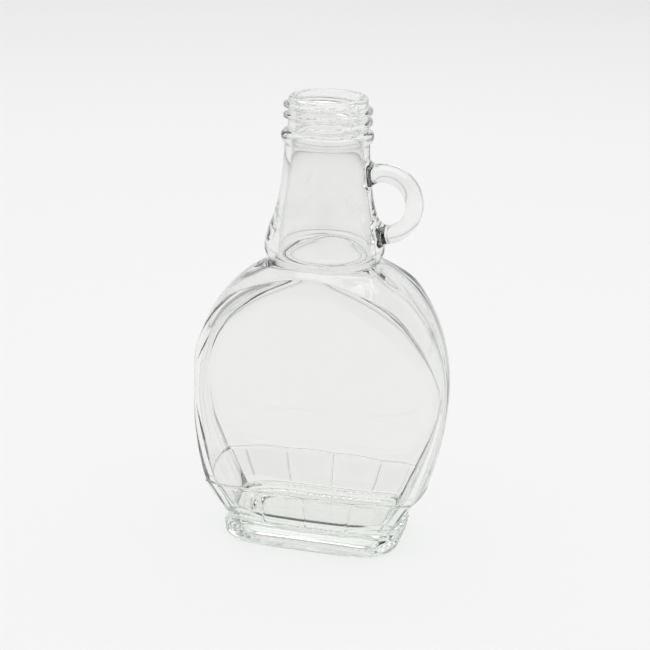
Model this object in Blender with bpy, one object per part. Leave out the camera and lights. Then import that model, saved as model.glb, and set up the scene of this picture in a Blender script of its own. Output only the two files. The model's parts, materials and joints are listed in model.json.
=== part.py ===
"""Maple syrup bottle: a flat flask of clear glass with a loop handle on its neck.

The whole bottle is one piece of glass, open at the mouth. Metres, +Z up. The
origin is on the floor under the middle of the foot, the broad front panel
faces -Y, and the loop handle is on the +X side.
"""

import math

import bmesh
import bpy
import numpy as np

MM = 0.001

# Driving dimensions, in millimetres unless they say degrees.
HEIGHT = 146.4
BODY_HALF_WIDTH = 41.7
BODY_HALF_DEPTH = 20.0
WIDEST_Z = 51.0
RIDGE_Z = 19.2
RIDGE_HALF_WIDTH = 36.2
WAIST_Z = 7.0
FOOT_HALF_WIDTH = 29.1
FOOT_HALF_DEPTH = 19.7
FOOT_CORNER = 12.0
HEEL_RADIUS = 1.6
NECK_ROOT_Z = 94.3
NECK_ROOT_RADIUS = 17.5
NECK_TOP_RADIUS = 13.4
FINISH_RADIUS = 12.45
BORE_RADIUS = 9.9

# The body is an upright oval prism cut to a round disc that is seen from the
# front. The disc's edge band is crowned, so it is narrower at the panels.
OVAL_POWER = 3.0
DOME_POWER = 2.06
DOME_HEIGHT = 46.6
EDGE_CROWN = 3.7
CROWN_POWER = 1.94

# Over the top of the panels the band rolls off towards the neck, and the
# crease between panel and band is rounded into an arch.
ROLL_OFF_START_Z = 85.0
ROLL_OFF_END_Z = 92.6
ROLL_OFF = 7.0
ROLL_OFF_POWER = 1.2
ARCH_START_Z = 70.0
ARCH_ROUNDING = 6.4
ARCH_POWER = 3.0

# The crease where the oval prism meets the disc runs up the side of each
# panel to this height, turns over the panel as its arch, and has its lowest
# point at the ridge. Rows and columns of the mesh follow it.
CREASE_CORNER_Z = 80.0

# Corners of the facets round the skirt, one quarter of them: the angle from
# the +X axis in degrees, and how far the waist lies from the middle there.
SKIRT_CORNERS = ((0.0, 28.6), (25.0, 29.4), (30.8, 27.8), (51.2, 21.4), (90.0, 17.2))
FLUTE_DEPTH = 0.25
SCALLOP_RISE = 0.5

# One quarter of the angles at which every ring has a point, in degrees. They
# include the corners of the facets, so each edge between facets stays sharp.
# The column at CREASE_COLUMN leaves its angle above the ridge for the crease.
QUARTER_ANGLES = (0, 8, 16, 25, 30.8, 37.5, 44, 51.2, 61, 71, 80, 90)
CREASE_COLUMN = 3

# The hollow above the foot: each ring's height, and its share of the way from
# the foot's edge to the waist.
FOOT_SHOULDER = ((4.0, 0.0), (4.85, 0.13), (5.3, 0.44), (5.8, 0.8))

# The underside: how far each ring lies in from the foot's edge, and its share
# of the push-up's height.
PUSH_UP = 2.0
PUSH_UP_PROFILE = ((11.0, 0.9), (8.6, 0.6), (6.0, 0.0), (2.6, 0.0))
SMALLEST_FOOT_CORNER = 4.0

# The neck from its root: the collar, and then the flare up to the bead, each
# a height and a radius.
COLLAR = ((94.3, 17.5), (95.3, 18.0), (96.3, 18.65), (97.3, 19.05), (98.5, 19.2))
FLARE = (
    (100.2, 19.0),
    (102.0, 18.6),
    (104.0, 18.0),
    (106.5, 17.1),
    (109.5, 16.05),
    (113.0, 15.15),
    (117.0, 14.5),
    (121.5, 14.0),
    (126.0, 13.6),
    (130.0, NECK_TOP_RADIUS),
)
LIP_ROUNDING = 1.5
LIP_NARROWING = 1.2

# The hollow inside. Its plans are superellipses: a height, half the width, half
# the depth and the power. Blown glass is smoother inside, so there are no
# facets in it, only a kink at the height of the ridge and a round heel.
HOLLOW = (
    (11.7, 29.6, 15.3, 4.3),
    (15.0, 31.8, 16.3, 4.6),
    (18.6, 33.95, 17.37, 5.0),
    (24.0, 36.15, 17.4, 4.7),
    (30.0, 37.85, 17.4, 4.2),
    (40.0, 39.6, 17.4, 3.6),
    (51.0, 40.3, 17.4, 3.2),
    (60.0, 39.6, 17.4, 3.5),
    (68.0, 37.5, 17.4, 4.0),
    (76.0, 33.6, 17.4, 4.4),
    (82.0, 28.9, 17.3, 4.3),
    (86.0, 24.6, 17.1, 3.9),
    (88.5, 21.3, 16.8, 3.4),
    (90.5, 18.7, 16.4, 2.8),
    (92.0, 17.1, 16.0, 2.4),
    (93.2, 16.2, 15.8, 2.15),
)
BASE_THICKNESS = 7.5
HOLLOW_HEEL_RADIUS = 6.0
HOLLOW_HEEL_MIDDLE = (23.9, 9.6)
HOLLOW_HEEL_SLOPES = (88, 70, 54, 38, 26)
HOLLOW_FLOOR_POWER = 3.2
HOLLOW_NECK = (
    (NECK_ROOT_Z, 15.7),
    (96.5, 15.4),
    (100.0, 15.3),
    (104.0, 14.9),
    (106.0, 14.5),
    (110.0, 13.75),
    (115.0, 12.8),
    (120.0, 12.1),
    (126.0, 11.3),
    (131.0, 10.5),
    (137.0, BORE_RADIUS),
    (144.7, BORE_RADIUS),
    (145.7, BORE_RADIUS + 0.3),
    (HEIGHT + 0.1, BORE_RADIUS + 1.0),
    (HEIGHT + 3.0, BORE_RADIUS + 1.0),
)

BEAD_Z = 134.0
BEAD_RADIUS = 14.5
BEAD_HALF_HEIGHT = 1.9

THREAD_RADIUS = 13.9
THREAD_PITCH = 3.3
THREAD_START_Z = 137.4
THREAD_START_ANGLE = -108.0
THREAD_TURNS = 2.18
THREAD_RUN_OUT = 30.0
THREAD_STEPS_PER_TURN = 32
THREAD_SMALLEST_SHARE = 0.18

# Half the thread's width at its root inside the glass, at the fillet on the
# finish, and at its crest.
THREAD_HALF_WIDTHS = (1.2, 0.95, 0.4)
THREAD_ROOT_DEPTH = 0.8
THREAD_FILLET = 0.25

HANDLE_X = 18.5
HANDLE_Z = 113.6
HANDLE_OUTER_RADIUS = 12.6
HANDLE_INNER_RADIUS = 7.2
HANDLE_DEPTH = 6.8
HANDLE_ROUNDING = 1.7
HANDLE_STEPS = 44

SHARP_ANGLE = 28.0

GLASS_COLOUR = (0.86, 0.90, 0.88, 1.0)
GLASS_ROUGHNESS = 0.03


def all_round(quarter):
    """The angles of a whole turn, in radians, from those of its first quarter in degrees."""
    second = [180 - angle for angle in quarter[-2::-1]]
    half = list(quarter) + second
    return np.radians(half + [360 - angle for angle in half[-2:0:-1]])


ANGLES = all_round(QUARTER_ANGLES)


def folded(angle):
    """The same direction in the first quarter, as the plan of the body is alike in all four."""
    return math.atan2(abs(math.sin(angle)), abs(math.cos(angle)))


def halved(low, high, is_past):
    """The place between low and high where is_past turns true, by halving the gap."""
    for _ in range(40):
        middle = (low + high) / 2
        if is_past(middle):
            high = middle
        else:
            low = middle
    return (low + high) / 2


def oval_radius(angle, half_width, half_depth, power):
    """How far a superellipse reaches from the middle in one direction."""
    reach = abs(math.cos(angle) / half_width) ** power
    reach += abs(math.sin(angle) / half_depth) ** power
    return reach ** (-1 / power)


def rounded_rectangle_radius(angle, half_width, half_depth, corner):
    """How far a rectangle with round corners reaches from the middle in one direction."""
    across, up = math.cos(folded(angle)), math.sin(folded(angle))
    centre_x, centre_y = half_width - corner, half_depth - corner
    if across > 0 and half_width / across * up <= centre_y:
        return half_width / across
    if up > 0 and half_depth / up * across <= centre_x:
        return half_depth / up
    middle = centre_x * across + centre_y * up
    beyond = centre_x**2 + centre_y**2 - corner**2
    return middle + math.sqrt(middle**2 - beyond)


def body_half_width(z):
    """Half the width of the body at the mould parting line, at height z."""
    if z > WIDEST_Z:
        share = min((z - WIDEST_Z) / DOME_HEIGHT, 1.0)
        return BODY_HALF_WIDTH * (1 - share**DOME_POWER) ** (1 / DOME_POWER)
    narrowing = BODY_HALF_WIDTH - RIDGE_HALF_WIDTH
    drop = WIDEST_Z - RIDGE_Z
    arc_radius = (drop**2 + narrowing**2) / (2 * narrowing)
    return BODY_HALF_WIDTH - arc_radius + math.sqrt(arc_radius**2 - (WIDEST_Z - z) ** 2)


def crown(z):
    """How much narrower the disc is at the panels than at the parting line."""
    roll = max(z - ROLL_OFF_START_Z, 0.0) / (ROLL_OFF_END_Z - ROLL_OFF_START_Z)
    return EDGE_CROWN + ROLL_OFF * roll**ROLL_OFF_POWER


def prism_radius(angle):
    """The oval prism, whose front and back are the panels."""
    return oval_radius(angle, BODY_HALF_WIDTH, BODY_HALF_DEPTH, OVAL_POWER)


def arch_rounding(z):
    """How far the disc's edge is rounded across the middle of the bottle."""
    rise = max(z - ARCH_START_Z, 0.0) / (ROLL_OFF_END_Z - ARCH_START_Z)
    return ARCH_ROUNDING * min(rise, 1.0) ** ARCH_POWER


def disc_radius(angle, z):
    """The crowned disc, whose edge is the band round the panels."""
    across, up = abs(math.cos(angle)), abs(math.sin(angle))
    width, narrowing, rounding = body_half_width(z), crown(z), arch_rounding(z)

    def is_outside(radius):
        edge = width - narrowing * (radius * up / BODY_HALF_DEPTH) ** CROWN_POWER
        return math.hypot(radius * across, rounding) > edge

    return halved(0.0, 3 * BODY_HALF_WIDTH, is_outside)


def body_radius(angle, z):
    """The body's surface: the prism or the disc, whichever is nearer the axis."""
    return max(min(prism_radius(angle), disc_radius(angle, z)), NECK_ROOT_RADIUS)


def shoulder_top(angle):
    """The height at which the shoulder has come in as far as the neck's root."""
    return halved(
        ROLL_OFF_START_Z, NECK_ROOT_Z, lambda z: disc_radius(angle, z) < NECK_ROOT_RADIUS
    )


def crease_angle(z):
    """The direction of the crease at height z, up the side of a panel."""
    return halved(0.0, math.pi / 2, lambda angle: disc_radius(angle, z) > prism_radius(angle))


def crease_height(angle):
    """The height of the crease in one direction, over the top of a panel."""
    return halved(
        WIDEST_Z, NECK_ROOT_Z, lambda z: disc_radius(angle, z) < prism_radius(angle)
    )


def waist_radius(angle):
    """The faceted waist: straight chords between the corners, each hollowed a little."""
    turn = folded(angle)
    for (low, near), (high, far) in zip(SKIRT_CORNERS, SKIRT_CORNERS[1:]):
        start, end = math.radians(low), math.radians(high)
        if turn <= end + 1e-9:
            break
    chord = near * far * math.sin(end - start)
    chord /= near * math.sin(turn - start) + far * math.sin(end - turn)
    return chord - FLUTE_DEPTH * flute(angle)


def flute(angle):
    """Zero at each corner of the front and back facets, and one halfway between them."""
    turn = math.degrees(folded(angle))
    corners = [corner for corner, _ in SKIRT_CORNERS[2:]]
    for low, high in zip(corners, corners[1:]):
        if low <= turn <= high:
            return math.sin(math.pi * (turn - low) / (high - low))
    return 0.0


def ring(radius_of, z_of):
    """One closed ring of points; each argument is a function of the angle."""
    return [
        (radius_of(a) * math.cos(a), radius_of(a) * math.sin(a), z_of(a)) for a in ANGLES
    ]


def level_ring(z, radius_of):
    return ring(radius_of, lambda angle: z)


def round_ring(z, radius):
    return ring(lambda angle: radius, lambda angle: z)


def mirrored_ring(quarter):
    """A closed ring from its points in the first quarter, which run from +X to +Y."""
    second = [(-x, y, z) for x, y, z in quarter[-2::-1]]
    half = quarter + second
    return half + [(x, -y, z) for x, y, z in half[-2:0:-1]]


def foot_ring(z, inset):
    """A ring of the foot's plan, moved in by the inset."""
    width, depth = FOOT_HALF_WIDTH - inset, FOOT_HALF_DEPTH - inset
    corner = max(FOOT_CORNER - inset, SMALLEST_FOOT_CORNER)
    return level_ring(z, lambda a: rounded_rectangle_radius(a, width, depth, corner))


def foot_to_waist_ring(z, share):
    """A ring between the foot's plan and the waist's, for the hollow above the foot."""

    def radius(angle):
        foot = rounded_rectangle_radius(angle, FOOT_HALF_WIDTH, FOOT_HALF_DEPTH, FOOT_CORNER)
        return foot + share * (waist_radius(angle) - foot)

    return level_ring(z, radius)


def ridge_height(angle):
    """The ridge rises in a shallow arc over each hollowed facet."""
    return RIDGE_Z + SCALLOP_RISE * flute(angle)


def skirt_ring(share):
    """A ring of the faceted skirt, from the waist at 0 to the ridge at 1."""

    def radius(angle):
        waist = waist_radius(angle)
        return waist + share * (body_radius(angle, RIDGE_Z) - waist)

    return ring(radius, lambda angle: WAIST_Z + share * (ridge_height(angle) - WAIST_Z))


def panel_ring(share):
    """A ring of the body from the ridge at 0 to the crease over the panels at 1."""
    side_z = RIDGE_Z + share * (CREASE_CORNER_Z - RIDGE_Z)
    side_angle = crease_angle(side_z)
    corner_angle = crease_angle(CREASE_CORNER_Z)
    ridge_corner = math.radians(QUARTER_ANGLES[CREASE_COLUMN])
    points = []
    for column, degrees in enumerate(QUARTER_ANGLES):
        plain = math.radians(degrees)
        if column <= CREASE_COLUMN:
            angle = side_angle * plain / ridge_corner
            z = side_z
        else:
            across = (plain - ridge_corner) / (math.pi / 2 - ridge_corner)
            angle = side_angle + across * (math.pi / 2 - side_angle)
            top = crease_height(corner_angle + across * (math.pi / 2 - corner_angle))
            z = ridge_height(plain) + share * (top - ridge_height(plain))
        radius = body_radius(angle, z)
        points.append((radius * math.cos(angle), radius * math.sin(angle), z))
    return mirrored_ring(points)


def shoulder_ring(share):
    """A ring of the shoulder from the crease at 0 to the root of the neck at 1."""
    corner_angle = crease_angle(CREASE_CORNER_Z)
    ridge_corner = math.radians(QUARTER_ANGLES[CREASE_COLUMN])
    points = []
    for column, degrees in enumerate(QUARTER_ANGLES):
        plain = math.radians(degrees)
        if column <= CREASE_COLUMN:
            angle = corner_angle * plain / ridge_corner
            low = CREASE_CORNER_Z
        else:
            across = (plain - ridge_corner) / (math.pi / 2 - ridge_corner)
            angle = corner_angle + across * (math.pi / 2 - corner_angle)
            low = crease_height(angle)
        angle += share * (plain - angle)
        z = low + share * (shoulder_top(angle) - low)
        radius = body_radius(angle, z)
        points.append((radius * math.cos(angle), radius * math.sin(angle), z))
    return mirrored_ring(points)


def foot_rings():
    """From the middle of the underside round the heel and up to the waist."""
    rings = [foot_ring(PUSH_UP * share, inset) for inset, share in PUSH_UP_PROFILE]
    for step in (0, 30, 60, 90):
        turn = math.radians(step)
        lift, inset = 1 - math.cos(turn), 1 - math.sin(turn)
        rings.append(foot_ring(HEEL_RADIUS * lift, HEEL_RADIUS * inset))
    return rings + [foot_to_waist_ring(z, share) for z, share in FOOT_SHOULDER]


def body_rings():
    """From the waist over the skirt, the ridge and the panels to the root of the neck."""
    skirt = [skirt_ring(share) for share in (0.0, 0.5, 0.94)]
    panel = [panel_ring(step / 16) for step in range(17)]
    shoulder = [shoulder_ring(share) for share in (0.15, 0.32, 0.5, 0.68, 0.84, 0.95)]
    return skirt + panel + shoulder


def neck_rings():
    """The collar round the neck's root, the flared neck, the bead and the finish."""
    rings = [round_ring(z, radius) for z, radius in COLLAR + FLARE]
    below = BEAD_RADIUS - NECK_TOP_RADIUS
    above = BEAD_RADIUS - FINISH_RADIUS
    for step in (-90, -55, -20, 20, 55, 90):
        turn = math.radians(step)
        reach = below if step < 0 else above
        radius = BEAD_RADIUS - reach * (1 - math.cos(turn))
        rings.append(round_ring(BEAD_Z + BEAD_HALF_HEIGHT * math.sin(turn), radius))
    for step in (0, 35, 65, 90):
        turn = math.radians(step)
        radius = FINISH_RADIUS - LIP_NARROWING * (1 - math.cos(turn))
        rings.append(round_ring(HEIGHT - LIP_ROUNDING * (1 - math.sin(turn)), radius))
    return rings


def oval_ring(z, half_width, half_depth, power):
    return level_ring(z, lambda angle: oval_radius(angle, half_width, half_depth, power))


def heel_ring(slope):
    """A ring of the hollow's heel, where it has come round to this slope in degrees."""
    turn = math.radians(slope)
    out = HOLLOW_HEEL_RADIUS * math.cos(turn)
    z = BASE_THICKNESS + HOLLOW_HEEL_RADIUS * (1 - math.sin(turn))
    wall_power = HOLLOW[0][3]
    power = wall_power + (HOLLOW_FLOOR_POWER - wall_power) * slope / 90
    return oval_ring(z, HOLLOW_HEEL_MIDDLE[0] + out, HOLLOW_HEEL_MIDDLE[1] + out, power)


def cavity_rings():
    """The hollow from its floor to above the mouth, where it cuts through the lip."""
    heel = [heel_ring(slope) for slope in HOLLOW_HEEL_SLOPES]
    body = [oval_ring(*row) for row in HOLLOW]
    return heel + body + [round_ring(z, radius) for z, radius in HOLLOW_NECK]


def lofted(name, rings, first_middle_z, last_middle_z):
    """A closed mesh object through the rings, with a fan of triangles over each end."""
    mesh = bmesh.new()
    loops = [
        [mesh.verts.new((x * MM, y * MM, z * MM)) for x, y, z in points] for points in rings
    ]
    count = len(loops[0])
    for lower, upper in zip(loops, loops[1:]):
        for i in range(count):
            j = (i + 1) % count
            mesh.faces.new((lower[i], lower[j], upper[j], upper[i]))
    bottom = mesh.verts.new((0, 0, first_middle_z * MM))
    top = mesh.verts.new((0, 0, last_middle_z * MM))
    for i in range(count):
        j = (i + 1) % count
        mesh.faces.new((bottom, loops[0][j], loops[0][i]))
        mesh.faces.new((top, loops[-1][i], loops[-1][j]))
    return finished(name, mesh)


def swept(name, sections, closed):
    """A closed mesh object through cross-sections; a sweep that isn't closed has flat ends."""
    mesh = bmesh.new()
    loops = [
        [mesh.verts.new((x * MM, y * MM, z * MM)) for x, y, z in section] for section in sections
    ]
    count = len(loops[0])
    following = loops[1:] + loops[:1] if closed else loops[1:]
    for near, far in zip(loops, following):
        for i in range(count):
            j = (i + 1) % count
            mesh.faces.new((near[i], near[j], far[j], far[i]))
    if not closed:
        mesh.faces.new(loops[0])
        mesh.faces.new(loops[-1])
    return finished(name, mesh)


def finished(name, mesh):
    """Turns the mesh's faces outwards and puts it in the scene, shaded smooth off its edges."""
    bmesh.ops.recalc_face_normals(mesh, faces=mesh.faces)
    data = bpy.data.meshes.new(name)
    mesh.to_mesh(data)
    mesh.free()
    data.shade_smooth()
    data.set_sharp_from_angle(angle=math.radians(SHARP_ANGLE))
    made = bpy.data.objects.new(name, data)
    bpy.context.scene.collection.objects.link(made)
    return made


def thread():
    """The raised right-hand screw thread that runs out into the finish at both ends."""
    root = FINISH_RADIUS - THREAD_ROOT_DEPTH
    wide, fillet, narrow = THREAD_HALF_WIDTHS
    turn_degrees = 360 * THREAD_TURNS
    steps = round(THREAD_STEPS_PER_TURN * THREAD_TURNS)
    sections = []
    for step in range(steps + 1):
        swept_degrees = turn_degrees * step / steps
        to_end = min(swept_degrees, turn_degrees - swept_degrees)
        rise = math.sin(math.pi / 2 * min(to_end / THREAD_RUN_OUT, 1.0))
        share = THREAD_SMALLEST_SHARE + (1 - THREAD_SMALLEST_SHARE) * rise
        crest = FINISH_RADIUS + (THREAD_RADIUS - FINISH_RADIUS) * share
        flank = FINISH_RADIUS + THREAD_FILLET * share
        angle = math.radians(THREAD_START_ANGLE + swept_degrees)
        middle = THREAD_START_Z + THREAD_PITCH * swept_degrees / 360
        outline = (
            (root, -wide),
            (flank, -fillet),
            (crest, -narrow),
            (crest, narrow),
            (flank, fillet),
            (root, wide),
        )
        sections.append(
            [(r * math.cos(angle), r * math.sin(angle), middle + up) for r, up in outline]
        )
    return swept("thread", sections, closed=False)


def handle():
    """The flat-sided loop that stands in the parting plane; the neck's wall takes its inner side."""
    middle = (HANDLE_OUTER_RADIUS + HANDLE_INNER_RADIUS) / 2
    half_width = (HANDLE_OUTER_RADIUS - HANDLE_INNER_RADIUS) / 2
    half_depth = HANDLE_DEPTH / 2
    outline = []
    for corner in range(4):
        side = 1 if corner in (0, 3) else -1
        face = 1 if corner < 2 else -1
        for step in (0, 45, 90):
            turn = math.radians(90 * corner + step)
            outline.append(
                (
                    middle + side * (half_width - HANDLE_ROUNDING) + HANDLE_ROUNDING * math.cos(turn),
                    face * (half_depth - HANDLE_ROUNDING) + HANDLE_ROUNDING * math.sin(turn),
                )
            )
    sections = []
    for step in range(HANDLE_STEPS):
        turn = math.tau * (step + 0.5) / HANDLE_STEPS
        sections.append(
            [
                (HANDLE_X + r * math.cos(turn), depth, HANDLE_Z + r * math.sin(turn))
                for r, depth in outline
            ]
        )
    return swept("handle", sections, closed=True)


def glass():
    """Clear soda-lime glass."""
    material = bpy.data.materials.new("clear_glass")
    material.use_nodes = True
    shader = material.node_tree.nodes["Principled BSDF"]
    shader.inputs["Base Color"].default_value = GLASS_COLOUR
    shader.inputs["Roughness"].default_value = GLASS_ROUGHNESS
    shader.inputs["Metallic"].default_value = 0.0
    shader.inputs["IOR"].default_value = 1.52
    shader.inputs["Transmission Weight"].default_value = 1.0
    return material


def boolean(target, tool, operation):
    """Adds the tool to the target or cuts it away, and hides the tool."""
    modifier = target.modifiers.new(f"{operation.lower()}_{tool.name}", "BOOLEAN")
    modifier.operation = operation
    modifier.object = tool
    tool.hide_render = True
    tool.display_type = "WIRE"


def build():
    for existing in list(bpy.data.objects):
        bpy.data.objects.remove(existing, do_unlink=True)
    rings = foot_rings() + body_rings() + neck_rings()
    bottle = lofted("bottle", rings, PUSH_UP, HEIGHT)
    bottle.data.materials.append(glass())
    boolean(bottle, handle(), "UNION")
    boolean(bottle, thread(), "UNION")
    cavity = lofted("cavity", cavity_rings(), BASE_THICKNESS, HEIGHT + 3.0)
    boolean(bottle, cavity, "DIFFERENCE")


build()
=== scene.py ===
import json
import math

import bmesh
import bpy
from mathutils import Matrix, Vector, noise

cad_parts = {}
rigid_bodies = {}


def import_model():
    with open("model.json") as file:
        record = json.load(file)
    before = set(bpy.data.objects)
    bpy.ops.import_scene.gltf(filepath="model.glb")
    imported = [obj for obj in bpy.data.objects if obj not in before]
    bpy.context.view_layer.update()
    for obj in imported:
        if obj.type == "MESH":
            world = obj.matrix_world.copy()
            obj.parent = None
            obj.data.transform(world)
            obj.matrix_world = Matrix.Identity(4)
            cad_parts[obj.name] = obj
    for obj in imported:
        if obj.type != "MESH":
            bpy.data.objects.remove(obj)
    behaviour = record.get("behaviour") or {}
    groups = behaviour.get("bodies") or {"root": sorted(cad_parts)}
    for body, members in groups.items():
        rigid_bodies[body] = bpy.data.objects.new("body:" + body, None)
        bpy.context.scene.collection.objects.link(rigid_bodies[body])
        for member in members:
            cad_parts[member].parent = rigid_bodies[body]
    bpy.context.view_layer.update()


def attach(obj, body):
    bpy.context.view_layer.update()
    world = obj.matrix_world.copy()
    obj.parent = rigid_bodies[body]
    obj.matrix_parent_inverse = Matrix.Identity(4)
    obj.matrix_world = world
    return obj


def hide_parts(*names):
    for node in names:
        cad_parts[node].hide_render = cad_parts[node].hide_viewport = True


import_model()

# Camera. It stands where the photograph was taken from, in front of the bottle
# and a little to the handle's side, looking down on it through a long lens.
MM = 0.001
CAMERA_AT = Vector((0.125256, -0.509329, 0.253951))
CAMERA_RIGHT = Vector((0.96894, 0.24597, 0.02580))
CAMERA_UP = Vector((-0.10439, 0.31220, 0.94428))
LENS = 95.72
SENSOR_WIDTH = 36.0
NEAREST_SEEN = 0.01
GLASS_BOUNCES = 32
GLOSS_BOUNCES = 12

bpy.ops.object.camera_add(location=CAMERA_AT)
camera = bpy.context.object
camera.name = "camera"
backwards = CAMERA_RIGHT.cross(CAMERA_UP).normalized()
level_up = backwards.cross(CAMERA_RIGHT).normalized()
turned = Matrix((CAMERA_RIGHT.normalized(), level_up, backwards)).transposed()
camera.rotation_euler = turned.to_euler()
camera.data.lens = LENS
camera.data.sensor_width = SENSOR_WIDTH
camera.data.clip_start = NEAREST_SEEN
bpy.context.scene.camera = camera
bpy.context.scene.view_settings.view_transform = "Standard"
bpy.context.scene.cycles.max_bounces = GLASS_BOUNCES
bpy.context.scene.cycles.transmission_bounces = GLASS_BOUNCES
bpy.context.scene.cycles.glossy_bounces = GLOSS_BOUNCES

# Floor. A wide sheet of matt white paper, which fills the camera's view behind
# the bottle. Under the front of the foot a painted shadow, a darker strip, lies
# on it, so that a dark line shows through the glass at the waist.
FLOOR_SIZE = 12.0
PAPER_GREY = 0.86
PAPER_ROUGHNESS = 0.9
PAPER_GLOSS = 0.1
# The painted shadow strip: its grey, its middle and half sizes along X and Y, how square it is and where
# its edge softens.
PAINTED_SHADOW_GREY = 0.12
PAINTED_SHADOW_X, PAINTED_SHADOW_HALF_LENGTH = 0.0, 0.021
PAINTED_SHADOW_Y, PAINTED_SHADOW_HALF_WIDTH = -0.0153, 0.0030
PAINTED_SHADOW_POWER = 4.0
PAINTED_SHADOW_SOFT_FROM = 0.5


def grey(value):
    return (value, value, value, 1)


def add_ramp(nodes, stops):
    """A colour ramp with these stops, each a place and a colour, from the lowest to the highest."""
    node = nodes.new("ShaderNodeValToRGB")
    elements = node.color_ramp.elements
    for element, (position, colour) in zip(elements, (stops[0], stops[-1])):
        element.position = position
        element.color = colour
    for position, colour in stops[1:-1]:
        elements.new(position).color = colour
    return node


def add_math(nodes, operation, *numbers):
    """A math node that works on what is linked to it and on these numbers."""
    node = nodes.new("ShaderNodeMath")
    node.operation = operation
    for socket, number in zip(node.inputs[1:], numbers):
        socket.default_value = number
    return node


bpy.ops.object.select_all(action="DESELECT")
bpy.ops.mesh.primitive_plane_add(size=FLOOR_SIZE, location=(0, 0, 0))
floor = bpy.context.object
floor.name = "floor"
paper = bpy.data.materials.new("white_paper")
paper.use_nodes = True
paper_nodes, paper_links = paper.node_tree.nodes, paper.node_tree.links
paper_shader = paper_nodes["Principled BSDF"]
paper_shader.inputs["Roughness"].default_value = PAPER_ROUGHNESS
paper_shader.inputs["Specular IOR Level"].default_value = PAPER_GLOSS

# The paper's colour is darkest in a soft rounded strip: a painted shadow under the front of the foot.
spot_on_paper = paper_nodes.new("ShaderNodeTexCoord")
spot_parts = paper_nodes.new("ShaderNodeSeparateXYZ")
paper_links.new(spot_on_paper.outputs["Object"], spot_parts.inputs[0])
out_of_painted_shadow = add_math(paper_nodes, "ADD")
sides = (("X", PAINTED_SHADOW_X, PAINTED_SHADOW_HALF_LENGTH), ("Y", PAINTED_SHADOW_Y, PAINTED_SHADOW_HALF_WIDTH))
for socket, (axis, middle, reach) in zip(out_of_painted_shadow.inputs, sides):
    share = add_math(paper_nodes, "MULTIPLY_ADD", 1 / reach, -middle / reach)
    powered = add_math(paper_nodes, "POWER", PAINTED_SHADOW_POWER)
    paper_links.new(spot_parts.outputs[axis], share.inputs[0])
    paper_links.new(share.outputs[0], powered.inputs[0])
    paper_links.new(powered.outputs[0], socket)
paper_and_painted_shadow = add_ramp(paper_nodes, ((PAINTED_SHADOW_SOFT_FROM, grey(PAINTED_SHADOW_GREY)), (1.0, grey(PAPER_GREY))))
paper_links.new(out_of_painted_shadow.outputs[0], paper_and_painted_shadow.inputs[0])
paper_links.new(paper_and_painted_shadow.outputs[0], paper_shader.inputs["Base Color"])
floor.data.materials.append(paper)

# Light. One big soft box overhead in a room of plain walls: white behind the
# bottle, half as bright round it and nearly dark behind the camera, so that
# the glass shows thin dark edges.
CAMERA_SIDE = (0.224, -0.918, 0.328)
ROOM_STRENGTH = 0.875
ROOM_GREYS = ((0.2, 1.0), (0.34, 0.5), (0.93, 0.42), (0.975, 0.2), (0.995, 0.03))
SOFT_BOX_AT = (0, 0.1, 2.0)
SOFT_BOX_SIZE = 3.0
SOFT_BOX_WATTS = 43.8

world = bpy.data.worlds.new("studio")
world.use_nodes = True
bpy.context.scene.world = world
room, wires = world.node_tree.nodes, world.node_tree.links
sky = room["Background"]
direction = room.new("ShaderNodeTexCoord")
towards_camera = room.new("ShaderNodeVectorMath")
towards_camera.operation = "DOT_PRODUCT"
towards_camera.inputs[1].default_value = CAMERA_SIDE
from_behind = add_math(room, "MULTIPLY_ADD", 0.5, 0.5)
walls = add_ramp(room, [(position, grey(value)) for position, value in ROOM_GREYS])
wires.new(direction.outputs["Generated"], towards_camera.inputs[0])
wires.new(towards_camera.outputs["Value"], from_behind.inputs[0])
wires.new(from_behind.outputs[0], walls.inputs[0])
wires.new(walls.outputs[0], sky.inputs["Color"])
sky.inputs["Strength"].default_value = ROOM_STRENGTH

bpy.ops.object.light_add(type="AREA", location=SOFT_BOX_AT)
soft_box = bpy.context.object
soft_box.name = "soft_box"
soft_box.data.shape = "RECTANGLE"
soft_box.data.size = SOFT_BOX_SIZE
soft_box.data.size_y = SOFT_BOX_SIZE
soft_box.data.energy = SOFT_BOX_WATTS

# The body's glass, blown in a mould: a faceted skirt on a raised foot, and an
# upright oval prism cut to a crowned disc. It is drawn from the middle of its
# underside up to the root of the neck, in millimetres and degrees.
BODY_HALF_WIDTH = 41.7
BODY_HALF_DEPTH = 20.0
OVAL_POWER = 3.0
WIDEST_Z = 51.0
DOME_HEIGHT = 46.6
DOME_POWER = 2.06
RIDGE_Z = 19.2
RIDGE_HALF_WIDTH = 36.2
EDGE_CROWN = 3.7
CROWN_POWER = 1.94
ROLL_OFF_START_Z = 85.0
ROLL_OFF_END_Z = 92.6
ROLL_OFF = 7.0
ROLL_OFF_POWER = 1.2
ARCH_START_Z = 70.0
ARCH_ROUNDING = 6.4
ARCH_POWER = 3.0
CREASE_CORNER_Z = 80.0
NECK_ROOT_Z = 94.3
NECK_ROOT_RADIUS = 17.5
WAIST_Z = 7.0
FOOT_HALF_WIDTH = 29.1
FOOT_HALF_DEPTH = 19.7
FOOT_CORNER = 12.0
LEAST_FOOT_CORNER = 4.0
HEEL_RADIUS = 1.6
PUSH_UP = 2.0
PUSH_UP_OVALS = ((3.4, 2.0, 2.0), (9.0, 5.0, 2.2))
STIPPLE_HEIGHT = 0.3
FLUTE_DEPTH = 0.25
SCALLOP_RISE = 0.5

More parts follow.
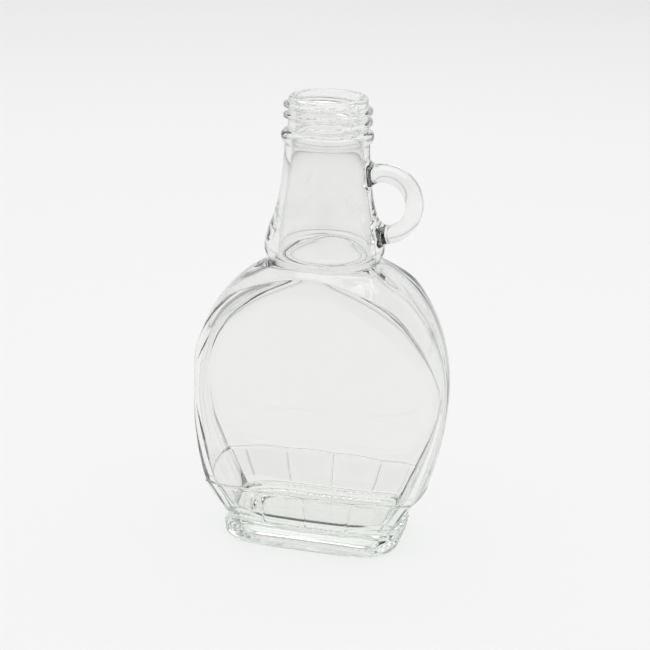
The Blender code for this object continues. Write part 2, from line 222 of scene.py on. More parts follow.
# How far in from the foot's edge the push-up's rings lie, with their share of
# its height, and how far in the flat rings lie that carry the stipples.
PUSH_UP_RINGS = ((12.0, 0.97), (10.5, 0.84), (9.2, 0.62), (8.0, 0.38), (6.9, 0.15), (6.0, 0.02))
STIPPLED_RINGS = (5.2, 4.4, 3.6, 2.8, HEEL_RADIUS + 0.3)
HEEL_TURNS = (0, 18, 36, 54, 72, 90)
FOOT_LEVELS = (2.6, 3.4)

# Heights over the foot, and their share of the way from its edge to the waist.
FOOT_SHOULDER = (
    (4.0, 0.0), (4.5, 0.04), (4.85, 0.13), (5.1, 0.27), (5.3, 0.44), (5.5, 0.62), (5.8, 0.8), (6.25, 0.93),
)

# The skirt's corners in one quarter: the turn, and how far out the waist is.
SKIRT_CORNERS = ((0.0, 28.6), (25.0, 29.4), (30.8, 27.8), (51.2, 21.4), (90.0, 17.2))

# The turns in one quarter where a ring has points. Over the ridge the column at
# CREASE_COLUMN leaves its turn and follows the crease.
QUARTER_TURN = (
    0, 0.8, 5, 10, 15, 20, 23.4, 25, 26.6, 28.8, 30.8, 34,
    38, 42, 46.5, 51.2, 56, 61, 66, 71, 76, 81, 85.5, 90,
)
CREASE_COLUMN = 7

# Shares of the way up the skirt, the panels and the shoulder where rings lie.
SKIRT_ROWS = (0.0, 0.08, 0.25, 0.45, 0.65, 0.82, 0.92)
PANEL_FIRST_ROWS = (0.0, 0.018, 0.04)
PANEL_ROWS = 24
PANEL_SPAN = 0.93
PANEL_LAST_ROWS = (0.985, 1.0)
SHOULDER_ROWS = (0.06, 0.16, 0.28, 0.4, 0.52, 0.64, 0.76, 0.86, 0.94)
HALVINGS = 32
TINY_TURN = 1e-4


def all_round(quarter):
    """The angles of a whole turn, in radians, from those of its first quarter in degrees."""
    second = [180 - angle for angle in quarter[-2::-1]]
    half = list(quarter) + second
    return [math.radians(angle) for angle in half + [360 - angle for angle in half[-2:0:-1]]]


TURN = all_round(QUARTER_TURN)


def halved(low, high, is_past):
    """The place between low and high where is_past turns true."""
    for _ in range(HALVINGS):
        middle = (low + high) / 2
        if is_past(middle):
            high = middle
        else:
            low = middle
    return (low + high) / 2


def folded(angle):
    """The turn in the first quarter that lies like this one, in radians."""
    return math.atan2(abs(math.sin(angle)), abs(math.cos(angle)))


def oval_reach(angle, half_width, half_depth, power):
    reach = abs(math.cos(angle) / half_width) ** power
    reach += abs(math.sin(angle) / half_depth) ** power
    return reach ** (-1 / power)


def rounded_rectangle_reach(angle, half_width, half_depth, corner):
    across, up = math.cos(folded(angle)), math.sin(folded(angle))
    centre_x, centre_y = half_width - corner, half_depth - corner
    if across > 0 and half_width / across * up <= centre_y:
        return half_width / across
    if up > 0 and half_depth / up * across <= centre_x:
        return half_depth / up
    middle = centre_x * across + centre_y * up
    return middle + math.sqrt(middle**2 - centre_x**2 - centre_y**2 + corner**2)


def body_half_width(z):
    """Half the width of the bottle seen from the front, at height z."""
    if z > WIDEST_Z:
        share = min((z - WIDEST_Z) / DOME_HEIGHT, 1.0)
        return BODY_HALF_WIDTH * (1 - share**DOME_POWER) ** (1 / DOME_POWER)
    narrowing = BODY_HALF_WIDTH - RIDGE_HALF_WIDTH
    drop = WIDEST_Z - RIDGE_Z
    arc_radius = (drop**2 + narrowing**2) / (2 * narrowing)
    return BODY_HALF_WIDTH - arc_radius + math.sqrt(arc_radius**2 - (WIDEST_Z - z) ** 2)


def prism_reach(angle):
    return oval_reach(angle, BODY_HALF_WIDTH, BODY_HALF_DEPTH, OVAL_POWER)


def disc_reach(angle, z):
    """How far out the disc's edge band lies, crowned and rolled off to the neck."""
    across, up = abs(math.cos(angle)), abs(math.sin(angle))
    roll = max(z - ROLL_OFF_START_Z, 0.0) / (ROLL_OFF_END_Z - ROLL_OFF_START_Z)
    narrowing = EDGE_CROWN + ROLL_OFF * roll**ROLL_OFF_POWER
    rise = max(z - ARCH_START_Z, 0.0) / (ROLL_OFF_END_Z - ARCH_START_Z)
    rounding = ARCH_ROUNDING * min(rise, 1.0) ** ARCH_POWER
    width = body_half_width(z)

    def is_outside(reach):
        edge = width - narrowing * (reach * up / BODY_HALF_DEPTH) ** CROWN_POWER
        return math.hypot(reach * across, rounding) > edge

    return halved(0.0, 3 * BODY_HALF_WIDTH, is_outside)


def body_reach(angle, z):
    return max(min(prism_reach(angle), disc_reach(angle, z)), NECK_ROOT_RADIUS)


def crease_turn(z):
    """The turn at which the crease passes height z."""
    return halved(0.0, math.pi / 2, lambda angle: disc_reach(angle, z) > prism_reach(angle))


def crease_height(angle):
    return halved(WIDEST_Z, NECK_ROOT_Z, lambda z: disc_reach(angle, z) < prism_reach(angle))


def shoulder_top(angle):
    return halved(
        ROLL_OFF_START_Z, NECK_ROOT_Z, lambda z: disc_reach(angle, z) < NECK_ROOT_RADIUS
    )


def flute(angle):
    """The share of a facet's hollow or arc: 0 at its corners and 1 in its middle."""
    turn = math.degrees(folded(angle))
    corners = [corner for corner, _ in SKIRT_CORNERS[2:]]
    for low, high in zip(corners, corners[1:]):
        if low <= turn <= high:
            return math.sin(math.pi * (turn - low) / (high - low))
    return 0.0


def waist_reach(angle):
    """How far out the waist lies: straight from corner to corner, and a little fluted."""
    turn = folded(angle)
    for (low, near), (high, far) in zip(SKIRT_CORNERS, SKIRT_CORNERS[1:]):
        start, end = math.radians(low), math.radians(high)
        if turn <= end:
            break
    chord = near * far * math.sin(end - start)
    chord /= near * math.sin(turn - start) + far * math.sin(end - turn)
    return chord - FLUTE_DEPTH * flute(angle)


def ring(reach_of, z_of):
    return [(reach_of(a) * math.cos(a), reach_of(a) * math.sin(a), z_of(a)) for a in TURN]


def level_ring(z, reach_of):
    return ring(reach_of, lambda angle: z)


def round_ring(z, radius):
    return ring(lambda angle: radius, lambda angle: z)


def oval_ring(z, half_width, half_depth, power):
    return level_ring(z, lambda angle: oval_reach(angle, half_width, half_depth, power))


def mirrored_ring(quarter):
    """A whole ring from the points of its first quarter."""
    second = [(-x, y, z) for x, y, z in quarter[-2::-1]]
    half = quarter + second
    return half + [(x, -y, z) for x, y, z in half[-2:0:-1]]


def foot_reach(angle):
    return rounded_rectangle_reach(angle, FOOT_HALF_WIDTH, FOOT_HALF_DEPTH, FOOT_CORNER)


def foot_ring(z, inset):
    width, depth = FOOT_HALF_WIDTH - inset, FOOT_HALF_DEPTH - inset
    corner = max(FOOT_CORNER - inset, LEAST_FOOT_CORNER)
    return level_ring(z, lambda a: rounded_rectangle_reach(a, width, depth, corner))


def foot_to_waist_ring(z, share):
    def reach(angle):
        foot = foot_reach(angle)
        return foot + share * (waist_reach(angle) - foot)

    return level_ring(z, reach)


def ridge_height(angle):
    return RIDGE_Z + SCALLOP_RISE * flute(angle)


def skirt_ring(share):
    def reach(angle):
        waist = waist_reach(angle)
        return waist + share * (body_reach(angle, RIDGE_Z) - waist)

    return ring(reach, lambda angle: WAIST_Z + share * (ridge_height(angle) - WAIST_Z))


def panel_ring(share):
    """A ring up the panels: level over the sides, and shaped to the arches over the panels."""
    side_z = RIDGE_Z + share * (CREASE_CORNER_Z - RIDGE_Z)
    side_turn, corner_turn = crease_turn(side_z), crease_turn(CREASE_CORNER_Z)
    ridge_corner = math.radians(QUARTER_TURN[CREASE_COLUMN])
    points = []
    for column, degrees in enumerate(QUARTER_TURN):
        plain = math.radians(degrees)
        if column <= CREASE_COLUMN:
            angle, z = side_turn * plain / ridge_corner, side_z
        else:
            across = (plain - ridge_corner) / (math.pi / 2 - ridge_corner)
            angle = side_turn + across * (math.pi / 2 - side_turn)
            top = crease_height(corner_turn + across * (math.pi / 2 - corner_turn))
            z = ridge_height(plain) + share * (top - ridge_height(plain))
        reach = body_reach(angle, z)
        points.append((reach * math.cos(angle), reach * math.sin(angle), z))
    return mirrored_ring(points)


def shoulder_ring(share):
    """A ring of the shoulder, on its way from the panels' crease to the neck's root."""
    corner_turn = crease_turn(CREASE_CORNER_Z)
    ridge_corner = math.radians(QUARTER_TURN[CREASE_COLUMN])
    points = []
    for column, degrees in enumerate(QUARTER_TURN):
        plain = math.radians(degrees)
        if column <= CREASE_COLUMN:
            angle, low = corner_turn * plain / ridge_corner, CREASE_CORNER_Z
        else:
            across = (plain - ridge_corner) / (math.pi / 2 - ridge_corner)
            angle = corner_turn + across * (math.pi / 2 - corner_turn)
            low = crease_height(angle)
        angle += share * (plain - angle)
        z = low + share * (shoulder_top(angle) - low)
        reach = body_reach(angle, z)
        points.append((reach * math.cos(angle), reach * math.sin(angle), z))
    return mirrored_ring(points)


def turn_of(point):
    """Where a point lies in the turn round the bottle, from the handle's side."""
    return (math.atan2(point.y, point.x) + TINY_TURN) % math.tau


def place_ring(points):
    """Moves the selected points, in the order of their turn, to these places in millimetres."""
    mesh = bmesh.from_edit_mesh(bpy.context.object.data)
    picked = sorted((v for v in mesh.verts if v.select), key=lambda v: turn_of(v.co))
    for vertex, place in zip(picked, points, strict=True):
        vertex.co = Vector(place) * MM


def next_rings(rings):
    """Extrudes the open edge once for each ring and shapes it to that ring."""
    for points in rings:
        bpy.ops.mesh.extrude_edges_move()
        place_ring(points)


bpy.ops.object.select_all(action="DESELECT")
bpy.ops.mesh.primitive_circle_add(vertices=len(TURN), radius=PUSH_UP_OVALS[0][0] * MM, fill_type="NGON")
bottle = bpy.context.object
bottle.name = "bottle_glass"
bpy.ops.object.mode_set(mode="EDIT")
place_ring(oval_ring(PUSH_UP, *PUSH_UP_OVALS[0]))
next_rings([oval_ring(PUSH_UP, *PUSH_UP_OVALS[1])])
for inset, share in PUSH_UP_RINGS:
    next_rings([foot_ring(STIPPLE_HEIGHT + share * (PUSH_UP - STIPPLE_HEIGHT), inset)])
next_rings(foot_ring(STIPPLE_HEIGHT, inset) for inset in STIPPLED_RINGS)

for step in HEEL_TURNS:
    turn = math.radians(step)
    z = STIPPLE_HEIGHT + HEEL_RADIUS * (1 - math.cos(turn))
    next_rings([foot_ring(z, HEEL_RADIUS * (1 - math.sin(turn)))])
next_rings(foot_ring(z, 0.0) for z in FOOT_LEVELS)
next_rings(foot_to_waist_ring(z, share) for z, share in FOOT_SHOULDER)

next_rings(skirt_ring(share) for share in SKIRT_ROWS)
next_rings(panel_ring(share) for share in PANEL_FIRST_ROWS)
for row in range(PANEL_ROWS):
    next_rings([panel_ring(PANEL_FIRST_ROWS[-1] + PANEL_SPAN * (row + 1) / PANEL_ROWS)])
next_rings(panel_ring(share) for share in PANEL_LAST_ROWS)
next_rings(shoulder_ring(share) for share in SHOULDER_ROWS)

# Neck, bead and finish. A round neck flares down to a collar on the shoulder
# and ends in a bead and the plain round of the screw finish, all of one glass
# with the body.
HEIGHT = 146.4
NECK_TOP_RADIUS = 13.4
FINISH_RADIUS = 12.45
BORE_RADIUS = 9.9
BEAD_Z = 134.0
BEAD_RADIUS = 14.5
BEAD_HALF_HEIGHT = 1.9
BEAD_TURNS = range(-90, 91, 18)
FINISH_STEP = 0.3
LIP_HEIGHT, LIP_WIDTH = 1.4, 1.2
LIP_TURNS = (0, 25, 50, 75, 90)
MOUTH_EDGE_HEIGHT, MOUTH_EDGE_WIDTH = 0.9, 0.8
MOUTH_EDGE_TURNS = (0, 30, 60, 90)

# Heights and radii of the neck, and the heights of the mesh's rings on it.
NECK_PROFILE = (
    (94.3, 17.5), (95.3, 18.0), (96.3, 18.65), (97.3, 19.05), (98.5, 19.2), (100.2, 19.0), (102.0, 18.6),
    (104.0, 18.0), (106.5, 17.1), (109.5, 16.05), (113.0, 15.15), (117.0, 14.5), (121.5, 14.0),
    (126.0, 13.6), (130.0, 13.4), (132.0, 13.4),
)
NECK_LEVELS = (
    94.3, 94.8, 95.4, 96.0, 96.6, 97.2, 97.8, 98.5, 99.3, 100.2, 102.0, 103.8, 105.6, 107.4, 109.2, 111.2,
    113.4, 115.6, 117.4, 118.9, 120.7, 122.5, 124.3, 126.1, 127.8, 129.4, 130.8,
)


def on_curve(profile, z):
    """The radius at height z on a smooth curve through the profile's points."""
    last = len(profile) - 1
    spot = max(i for i in range(last) if profile[i][0] <= z or i == 0)
    (z0, r0), (z1, r1) = profile[spot], profile[spot + 1]
    before, after = profile[max(spot - 1, 0)], profile[min(spot + 2, last)]
    slope_in = (r1 - before[1]) / (z1 - before[0])
    slope_out = (after[1] - r0) / (after[0] - z0)
    span, share = z1 - z0, (z - z0) / (z1 - z0)
    square, cube = share**2, share**3
    value = (2 * cube - 3 * square + 1) * r0 + (3 * square - 2 * cube) * r1
    return value + span * ((cube - 2 * square + share) * slope_in + (cube - square) * slope_out)


next_rings(round_ring(z, on_curve(NECK_PROFILE, z)) for z in NECK_LEVELS)

for step in BEAD_TURNS:
    turn = math.radians(step)
    reach = BEAD_RADIUS - (NECK_TOP_RADIUS if step < 0 else FINISH_RADIUS)
    z = BEAD_Z + BEAD_HALF_HEIGHT * math.sin(turn)
    next_rings([round_ring(z, BEAD_RADIUS - reach * (1 - math.cos(turn)))])

finish_start = BEAD_Z + BEAD_HALF_HEIGHT
finish_height = HEIGHT - LIP_HEIGHT - finish_start
finish_steps = round(finish_height / FINISH_STEP)
for step in range(1, finish_steps):
    next_rings([round_ring(finish_start + finish_height * step / finish_steps, FINISH_RADIUS)])

for step in LIP_TURNS:
    turn = math.radians(step)
    z = HEIGHT - LIP_HEIGHT * (1 - math.sin(turn))
    next_rings([round_ring(z, FINISH_RADIUS - LIP_WIDTH * (1 - math.cos(turn)))])
for step in MOUTH_EDGE_TURNS:
    turn = math.radians(step)
    z = HEIGHT - MOUTH_EDGE_HEIGHT * (1 - math.cos(turn))
    next_rings([round_ring(z, BORE_RADIUS + MOUTH_EDGE_WIDTH * (1 - math.sin(turn)))])

# The hollow. Air blew the inside, so it is smoother than the outside. The wall
# is thinnest at the widest part of the sides, thicker at the panels and in the
# shoulder, and thickest at the base.
HOLLOW_TOP = 94.3

# The bore: heights and radii, and the heights of the mesh's rings in it.
BORE_PROFILE = (
    (HOLLOW_TOP, 15.7), (95.3, 15.5), (96.5, 15.4), (98.0, 15.35), (100.0, 15.3), (102.0, 15.15),
    (104.0, 14.9), (106.0, 14.5), (110.0, 13.75), (115.0, 12.8), (120.0, 12.1), (126.0, 11.3),
    (131.0, 10.5), (135.0, 9.95), (137.0, BORE_RADIUS), (145.5, BORE_RADIUS),
)
BORE_LEVELS = (
    144.0, 141.0, 138.0, 135.0, 132.0, 129.0, 126.0, 123.0, 120.0, 117.5, 115.0, 112.5,
    110.0, 108.0, 106.0, 104.2, 102.5, 100.7, 99.0, 97.5, 96.0, 95.1, HOLLOW_TOP,
)

# The body's hollow: heights, half the widths, half the depths and the powers of
# its ovals, and the heights of the mesh's rings in it.
HOLLOW = (
    (11.7, 29.6, 15.3, 4.3), (15.0, 31.8, 16.3, 4.6), (18.0, 33.6, 17.2, 4.9), (18.6, 33.95, 17.37, 5.0),
    (19.2, 34.3, 17.4, 5.0), (21.0, 35.0, 17.4, 4.9), (24.0, 36.15, 17.4, 4.7), (30.0, 37.85, 17.4, 4.2),
    (40.0, 39.6, 17.4, 3.6), (51.0, 40.3, 17.4, 3.2), (60.0, 39.6, 17.4, 3.5), (68.0, 37.5, 17.4, 4.0),
    (76.0, 33.6, 17.4, 4.4), (82.0, 28.9, 17.3, 4.3), (86.0, 24.6, 17.1, 3.9), (88.5, 21.3, 16.8, 3.4),
    (90.5, 18.7, 16.4, 2.8), (92.0, 17.1, 16.0, 2.4), (93.2, 16.2, 15.8, 2.15),
    (HOLLOW_TOP, 15.7, 15.7, 2.0),
)
HOLLOW_LEVELS = (
    93.7, 93.0, 92.2, 91.4, 90.4, 89.2, 87.8, 86.2, 84.3, 82.0, 79.5, 76.5, 73, 69, 64.5, 60, 55, 50,
    45, 40, 35, 30, 26, 22.5, 20.3, 19.2, 18.7, 18.3, 17.6, 16, 14, 12.6, 11.7,
)
HOLLOW_FLOOR_Z = 7.5
HOLLOW_HEEL = 6.0
HOLLOW_HEEL_MIDDLE = (23.9, 9.6)
HOLLOW_HEEL_START = 17.0
HOLLOW_HEEL_SLOPES = (26, 36, 46, 56, 66, 76, 88)
HOLLOW_HEEL_POWER = 4.3
HOLLOW_HEEL_POWER_LOST = 1.1
HOLLOW_FLOOR_OVALS = ((17.0, 6.6, 2.7), (9.0, 3.5, 2.3))
WAVE_LENGTH = 16.0
WAVE_HEIGHT = 0.12


def heel_ring(slope):
    """The hollow's section where its heel has come round to this slope, in degrees."""
    turn = math.radians(slope)
    out, down = HOLLOW_HEEL * math.cos(turn), HOLLOW_HEEL * (1 - math.sin(turn))
    rounded = HOLLOW_HEEL_POWER_LOST * (slope - HOLLOW_HEEL_START) / (90 - HOLLOW_HEEL_START)
    half_width, half_depth = (middle + out for middle in HOLLOW_HEEL_MIDDLE)
    return oval_ring(HOLLOW_FLOOR_Z + down, half_width, half_depth, HOLLOW_HEEL_POWER - rounded)


def hollow_ring(z):
    """The hollow's section at height z, read off the table of sections."""
    values = [on_curve([(row[0], row[column]) for row in HOLLOW], z) for column in (1, 2, 3)]
    return oval_ring(z, *values)


def waved(points):
    """Gives a ring of the hollow the slight waves that blown glass has inside."""
    places = []
    for x, y, z in points:
        grown = 1 + WAVE_HEIGHT * noise.noise(Vector((x, y, z)) / WAVE_LENGTH) / math.hypot(x, y)
        places.append((x * grown, y * grown, z))
    return places


next_rings(waved(round_ring(z, on_curve(BORE_PROFILE, z))) for z in BORE_LEVELS)
next_rings(waved(hollow_ring(z)) for z in HOLLOW_LEVELS)
next_rings(heel_ring(slope) for slope in HOLLOW_HEEL_SLOPES)
next_rings(oval_ring(HOLLOW_FLOOR_Z, *row) for row in HOLLOW_FLOOR_OVALS)
bpy.ops.mesh.edge_face_add()

# Loop handle. A small flat-sided ring of glass with rounded corners, formed in
# the mould's parting plane, that runs into the neck with a soft turn at both of
# its roots.
HANDLE_X = 18.5
HANDLE_Z = 113.6
HANDLE_OUTER_RADIUS = 12.6
HANDLE_INNER_RADIUS = 7.2
HANDLE_DEPTH = 6.8
HANDLE_CORNER = 2.2
HANDLE_POINTS = 24
HANDLE_STEPS = 19
HANDLE_START, HANDLE_END = math.radians(104), math.radians(-84)
UPPER_ROOT = (118.8, 126.2)
UPPER_ROOT_TURN = math.radians(118)
LOWER_ROOT = (100.1, 107.5)
ROOT_HALF_TURN = 15.1
ROOT_EDGE_SLACK = 0.2
ROOT_EDGE_REACH = 1.5
NECK_SLACK = 0.5


def pick_outer_neck_faces(low, high):
    """Selects the faces of the neck's outside between two heights, on the handle's side."""
    bpy.ops.mesh.select_all(action="DESELECT")
    mesh = bmesh.from_edit_mesh(bpy.context.object.data)
    for face in mesh.faces:
        middle = face.calc_center_median() / MM
        outside = math.hypot(middle.x, middle.y) > on_curve(NECK_PROFILE, middle.z) - NECK_SLACK
        near = abs(math.degrees(math.atan2(middle.y, middle.x))) < ROOT_HALF_TURN
        if low < middle.z < high and outside and near:
            face.select = True
    mesh.select_flush_mode()


def handle_outwards(turn):
    return Vector((math.cos(turn), 0, math.sin(turn)))


def handle_section(turn):
    """The points of the handle's section at one place of its ring, in order."""
    outwards = handle_outwards(turn)
    centre = Vector((HANDLE_X, 0, HANDLE_Z)) + outwards * (HANDLE_OUTER_RADIUS + HANDLE_INNER_RADIUS) / 2
    half_width = (HANDLE_OUTER_RADIUS - HANDLE_INNER_RADIUS) / 2
    places = []
    for step in range(HANDLE_POINTS):
        angle = math.tau * step / HANDLE_POINTS
        reach = rounded_rectangle_reach(angle, HANDLE_DEPTH / 2, half_width, HANDLE_CORNER)
        sideways = Vector((0, reach * math.cos(angle), 0))
        places.append(centre + sideways + outwards * reach * math.sin(angle))
    return places


def next_section(places, outwards):
    """Extrudes the open end of the handle and shapes it to these places in millimetres."""
    bpy.ops.mesh.extrude_edges_move()
    mesh = bmesh.from_edit_mesh(bpy.context.object.data)
    picked = [v for v in mesh.verts if v.select]
    middle = sum((v.co for v in picked), Vector()) / len(picked)

    def order(vertex):
        away = vertex.co - middle
        return (math.atan2(away.dot(outwards), away.y) + TINY_TURN) % math.tau

    for vertex, place in zip(sorted(picked, key=order), places, strict=True):
        vertex.co = place * MM


def pick_root_edges(low, high):
    """Adds the open edges between two heights to the selection."""
    mesh = bmesh.from_edit_mesh(bpy.context.object.data)
    for edge in mesh.edges:
        middle = (edge.verts[0].co + edge.verts[1].co) / 2 / MM
        at_root = low - ROOT_EDGE_SLACK < middle.z < high + ROOT_EDGE_SLACK
        if edge.is_boundary and at_root and middle.x < HANDLE_X + ROOT_EDGE_REACH:
            edge.select = True
    mesh.select_flush_mode()


for low, high in (UPPER_ROOT, LOWER_ROOT):
    pick_outer_neck_faces(low, high)
    bpy.ops.mesh.delete(type="FACE")

bpy.ops.mesh.select_all(action="DESELECT")
pick_root_edges(*UPPER_ROOT)
before = UPPER_ROOT_TURN
for step in range(HANDLE_STEPS + 1):
    turn = HANDLE_START + (HANDLE_END - HANDLE_START) * step / HANDLE_STEPS
    next_section(handle_section(turn), handle_outwards(before))
    before = turn
pick_root_edges(*LOWER_ROOT)
bpy.ops.mesh.bridge_edge_loops()
bpy.ops.mesh.select_all(action="SELECT")
bpy.ops.mesh.normals_make_consistent(inside=False)
bpy.ops.object.mode_set(mode="OBJECT")

# Arrises. The facets of the skirt meet each other and the ridge over them in
# fine raised lines, whose crest is lifted by two steps. The crease round the
# panels is nearly as sharp and isn't raised.
ARRIS_WIDTH = 0.3
ARRIS_STEP = 0.2
ARRIS_SEGMENTS = 4
ON_LINE = 0.12
ON_CREASE = 0.25
WAIST_SLACK = 0.4
SKIRT_SLACK = 0.6
LINE_START = 0.4
LINE_END = 1.0
CREASE_START = 0.3
CREASE_END = 0.2
CREASE_NECK_GAP = 0.5
FACET_SHARPNESS = 1.0
CREASE_SHARPNESS = 0.8


def on_facet_line(place):
    """True on a line between two facets of the skirt, or on the ridge over them."""
    angle, reach = folded(math.atan2(place.y, place.x)), math.hypot(place.x, place.y)
    if not WAIST_Z + LINE_START < place.z < RIDGE_Z + LINE_END:
        return False
    if reach < waist_reach(angle) - WAIST_SLACK:
        return False
    share = (place.z - WAIST_Z) / (RIDGE_Z - WAIST_Z)
    skirt = waist_reach(angle) + share * (body_reach(angle, RIDGE_Z) - waist_reach(angle))
    if reach < skirt - SKIRT_SLACK:
        return False
    if abs(place.z - ridge_height(angle)) < ON_LINE:
        return True
    near = min(abs(math.degrees(angle) - corner) for corner, _ in SKIRT_CORNERS[1:])
    return near < ON_LINE and place.z < ridge_height(angle)


def on_crease(place):
    """True on the crease between a panel and the band round it."""
    angle, reach = folded(math.atan2(place.y, place.x)), math.hypot(place.x, place.y)
    if not RIDGE_Z + CREASE_START < place.z < NECK_ROOT_Z - CREASE_END:
        return False
    if reach < NECK_ROOT_RADIUS + CREASE_NECK_GAP:
        return False
    prism, disc = prism_reach(angle), disc_reach(angle, place.z)
    return abs(prism - disc) < ON_CREASE and abs(reach - prism) < ON_CREASE


def pick_line(is_on_line):
    """Selects the edges that run along a line, given by a test for one point of it."""
    bpy.ops.mesh.select_all(action="DESELECT")
    mesh = bmesh.from_edit_mesh(bpy.context.object.data)
    on_line = {v.index for v in mesh.verts if is_on_line(v.co / MM)}
    for edge in mesh.edges:
        if edge.verts[0].index in on_line and edge.verts[1].index in on_line:
            edge.select = True
    mesh.select_flush_mode()


bpy.ops.object.mode_set(mode="EDIT")
bpy.ops.mesh.select_mode(type="EDGE")
pick_line(on_facet_line)
bpy.ops.transform.edge_crease(value=FACET_SHARPNESS)
pick_line(on_crease)
bpy.ops.transform.edge_crease(value=CREASE_SHARPNESS)
bpy.ops.object.mode_set(mode="OBJECT")

smoother = bottle.modifiers.new("smoother", "SUBSURF")
smoother.levels = 1
smoother.render_levels = 1
bpy.ops.object.modifier_apply(modifier="smoother")

bpy.ops.object.mode_set(mode="EDIT")
pick_line(on_facet_line)
bpy.ops.mesh.bevel(offset=ARRIS_WIDTH * MM, segments=ARRIS_SEGMENTS, affect="EDGES", clamp_overlap=False)
bpy.ops.mesh.select_mode(type="VERT")
for _ in range(ARRIS_SEGMENTS // 2):
    bpy.ops.mesh.select_less()
    bpy.ops.transform.shrink_fatten(value=ARRIS_STEP * MM)
bpy.ops.object.mode_set(mode="OBJECT")
bpy.ops.object.shade_smooth()

# Stipples and beads. Small flat dots pressed into the ring under the foot keep
# the hot glass off the belt, and the bottle stands on them. A row of small
# beads, at about the same pitch, runs round the top of the foot's edge.
STIPPLE_PITCH = 2.2
STIPPLE_INSETS = (2.7, 4.3)
STIPPLE_MIDDLE = 3.5
STIPPLE_LEVELS = (0.0, STIPPLE_HEIGHT + 0.1)
STIPPLE_EDGE = 0.12
FLOOR_GAP = 0.01
BEAD_LEVELS = (3.4, 4.25)
BEAD_INSETS = (-0.5, 0.5)
BEAD_EDGE = 0.25
BEAD_STAND_OUT = 0.3
ARC_STEPS = 1440

arc = [0.0]
for step in range(ARC_STEPS):
    angles = (math.tau * step / ARC_STEPS, math.tau * (step + 1) / ARC_STEPS)
    ends = [Vector((math.cos(a), math.sin(a))) * (foot_reach(a) - STIPPLE_MIDDLE) for a in angles]
    arc.append(arc[-1] + (ends[1] - ends[0]).length)
stipple_pitch = arc[-1] / round(arc[-1] / STIPPLE_PITCH)


def lap(point):
    """How far round the foot a point lies, in millimetres."""
    return arc[round(turn_of(point) / math.tau * ARC_STEPS)]


def pick_dots(insets, heights):
    """Selects the foot's faces on a ring of dots, given by its inset and its height."""
    bpy.ops.mesh.select_all(action="DESELECT")
    mesh = bmesh.from_edit_mesh(bpy.context.object.data)
    for face in mesh.faces:
        middle = face.calc_center_median() / MM
        inset = foot_reach(math.atan2(middle.y, middle.x)) - math.hypot(middle.x, middle.y)
        laps = sorted(lap(v.co) for v in face.verts)
        steps = [int(place / stipple_pitch) for place in (laps[0], laps[-1])]
        on_ring = insets[0] < inset < insets[1] and heights[0] < middle.z < heights[1]
        if on_ring and steps[1] - steps[0] == 1:
            face.select = True


bpy.ops.object.mode_set(mode="EDIT")
bpy.ops.mesh.select_mode(type="FACE")
pick_dots(STIPPLE_INSETS, STIPPLE_LEVELS)
bpy.ops.mesh.inset(thickness=STIPPLE_EDGE * MM)
bpy.ops.transform.translate(value=(0, 0, (FLOOR_GAP - STIPPLE_HEIGHT) * MM))
pick_dots(BEAD_INSETS, BEAD_LEVELS)
bpy.ops.mesh.inset(thickness=BEAD_EDGE * MM)
bpy.ops.transform.shrink_fatten(value=BEAD_STAND_OUT * MM)
bpy.ops.object.mode_set(mode="OBJECT")

# Mould seam. The two halves of the mould meet in the plane of the handle and
# leave a fine rib up both sides of the body and the neck, as far as the bead.
SEAM_HEIGHT = 0.07
SEAM_START_Z = 1.0
SEAM_REACH = (-0.8, 0.1)
ON_SEAM = 0.01

for vertex in bottle.data.vertices:
    x, y, z = vertex.co / MM
    outside = on_curve(NECK_PROFILE, z) if z > NECK_ROOT_Z else body_reach(0.0, z)
    on_outside = SEAM_REACH[0] < abs(x) - outside < SEAM_REACH[1]
    if abs(y) < ON_SEAM and SEAM_START_Z < z < BEAD_Z and on_outside:
        vertex.co.x += math.copysign(SEAM_HEIGHT * MM, x)

# Screw thread. A right-handed raised rib winds twice round the finish and runs
# out into it at both ends.
THREAD_RADIUS = 13.9
THREAD_PITCH = 3.3
THREAD_START_Z = 137.4
THREAD_START_TURN = -108.0
THREAD_TURNS = 2.18
THREAD_RUN_OUT = 30.0
THREAD_HALF_FOOT = 1.1
THREAD_FLANK = 0.8
THREAD_TOP_GAP = 0.9
FINISH_SLACK = 0.3


def thread_rise(turn, z):
    """How far the thread stands out of the finish at one place of it, in millimetres."""
    rise = 0.0
    swept = (turn - THREAD_START_TURN) % 360
    while swept <= 360 * THREAD_TURNS:
        to_end = min(swept, 360 * THREAD_TURNS - swept)
        height = math.sin(math.pi / 2 * min(to_end / THREAD_RUN_OUT, 1.0))
        off = abs(z - THREAD_START_Z - THREAD_PITCH * swept / 360)
        flank = min(max((THREAD_HALF_FOOT - off) / THREAD_FLANK, 0.0), 1.0)
        rise = max(rise, height * flank * flank * (3 - 2 * flank))
        swept += 360
    return rise * (THREAD_RADIUS - FINISH_RADIUS)


for vertex in bottle.data.vertices:
    x, y, z = vertex.co / MM
    radius = math.hypot(x, y)
    if finish_start < z < HEIGHT - THREAD_TOP_GAP and radius > FINISH_RADIUS - FINISH_SLACK:
        grown = radius + thread_rise(math.degrees(math.atan2(y, x)), z)
        vertex.co.x *= grown / radius
        vertex.co.y *= grown / radius

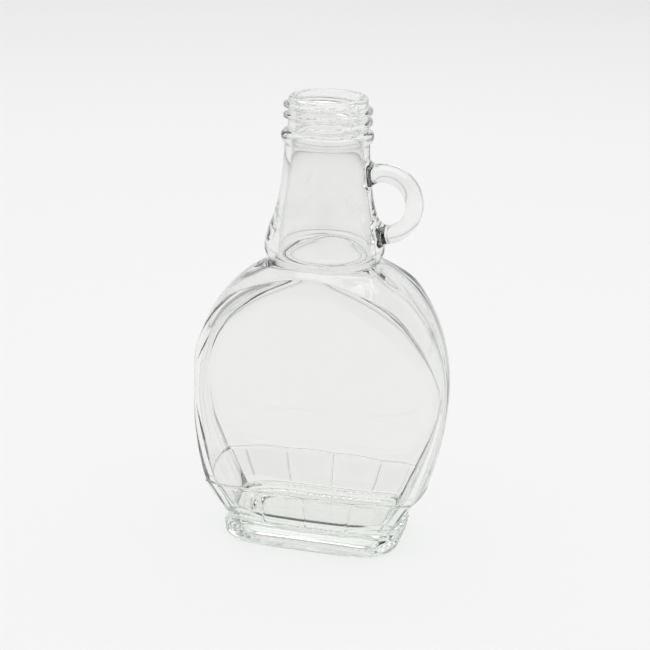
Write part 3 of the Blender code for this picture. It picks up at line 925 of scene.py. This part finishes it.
# Clear glass. Soda-lime glass with a trace of green; towards glancing angles its
# colour is darkened further, a painted shade for its dark edges. Slight ripples
# and a trace of haze break up its gloss, and the light that falls on the paper passes through it.
REFRACTIVE_INDEX = 1.52
EDGE_BLEND = 0.5
EDGE_TINTS_AND_PAINTED_SHADE = (
    (0.55, (0.958, 0.957, 0.947, 1)),
    (0.78, (0.72, 0.76, 0.73, 1)),
    (1.0, (0.3, 0.35, 0.32, 1)),
)
SHADOW_TINT = (0.98, 0.985, 0.98, 1)
RIPPLE_SCALE, RIPPLE_DETAIL = 90.0, 1.0
RIPPLE_STRENGTH, RIPPLE_HEIGHT = 0.3, 0.0001
HAZE_SCALE, HAZE_DETAIL = 400.0, 3.0
HAZE_FROM, HAZE_FULL = 0.45, 0.8
HAZE_ROUGHNESS = 0.008
DEPTH_TINT, DEPTH_TINT_DENSITY = (0.3, 0.7, 0.42, 1), 2.4

glass = bpy.data.materials.new("clear_glass")
glass.use_nodes = True
nodes, links = glass.node_tree.nodes, glass.node_tree.links
surface, output = nodes["Principled BSDF"], nodes["Material Output"]
surface.inputs["IOR"].default_value = REFRACTIVE_INDEX
surface.inputs["Transmission Weight"].default_value = 1.0
# Towards glancing angles the base colour goes from a faint green to dark grey: painted shade for the
# glass's dark edges.
facing = nodes.new("ShaderNodeLayerWeight")
facing.inputs["Blend"].default_value = EDGE_BLEND
tint_and_painted_edge_shade = add_ramp(nodes, EDGE_TINTS_AND_PAINTED_SHADE)
links.new(facing.outputs["Facing"], tint_and_painted_edge_shade.inputs[0])
links.new(tint_and_painted_edge_shade.outputs[0], surface.inputs["Base Color"])

let_through = nodes.new("ShaderNodeBsdfTransparent")
let_through.inputs["Color"].default_value = SHADOW_TINT
light_path = nodes.new("ShaderNodeLightPath")
unseen = add_math(nodes, "MAXIMUM")
mix = nodes.new("ShaderNodeMixShader")
links.new(light_path.outputs["Is Shadow Ray"], unseen.inputs[0])
links.new(light_path.outputs["Is Diffuse Ray"], unseen.inputs[1])
links.new(unseen.outputs["Value"], mix.inputs["Fac"])
links.new(surface.outputs["BSDF"], mix.inputs[1])
links.new(let_through.outputs["BSDF"], mix.inputs[2])
links.new(mix.outputs["Shader"], output.inputs["Surface"])

spots = nodes.new("ShaderNodeTexCoord")


def add_noise(scale, detail):
    """A noise that lies still in the bottle's own space."""
    node = nodes.new("ShaderNodeTexNoise")
    node.inputs["Scale"].default_value = scale
    node.inputs["Detail"].default_value = detail
    links.new(spots.outputs["Object"], node.inputs["Vector"])
    return node


ripples = nodes.new("ShaderNodeBump")
ripples.inputs["Strength"].default_value = RIPPLE_STRENGTH
ripples.inputs["Distance"].default_value = RIPPLE_HEIGHT
links.new(add_noise(RIPPLE_SCALE, RIPPLE_DETAIL).outputs["Fac"], ripples.inputs["Height"])
links.new(ripples.outputs["Normal"], surface.inputs["Normal"])
haze = nodes.new("ShaderNodeMapRange")
haze.inputs["From Min"].default_value = HAZE_FROM
haze.inputs["From Max"].default_value = HAZE_FULL
haze.inputs["To Min"].default_value = 0.0
haze.inputs["To Max"].default_value = HAZE_ROUGHNESS
links.new(add_noise(HAZE_SCALE, HAZE_DETAIL).outputs["Fac"], haze.inputs["Value"])
links.new(haze.outputs["Result"], surface.inputs["Roughness"])
depth_tint = nodes.new("ShaderNodeVolumeAbsorption")
depth_tint.inputs["Color"].default_value = DEPTH_TINT
depth_tint.inputs["Density"].default_value = DEPTH_TINT_DENSITY
links.new(depth_tint.outputs["Volume"], output.inputs["Volume"])
bottle.data.materials.clear()
bottle.data.materials.append(glass)

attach(bottle, "root")
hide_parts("bottle")
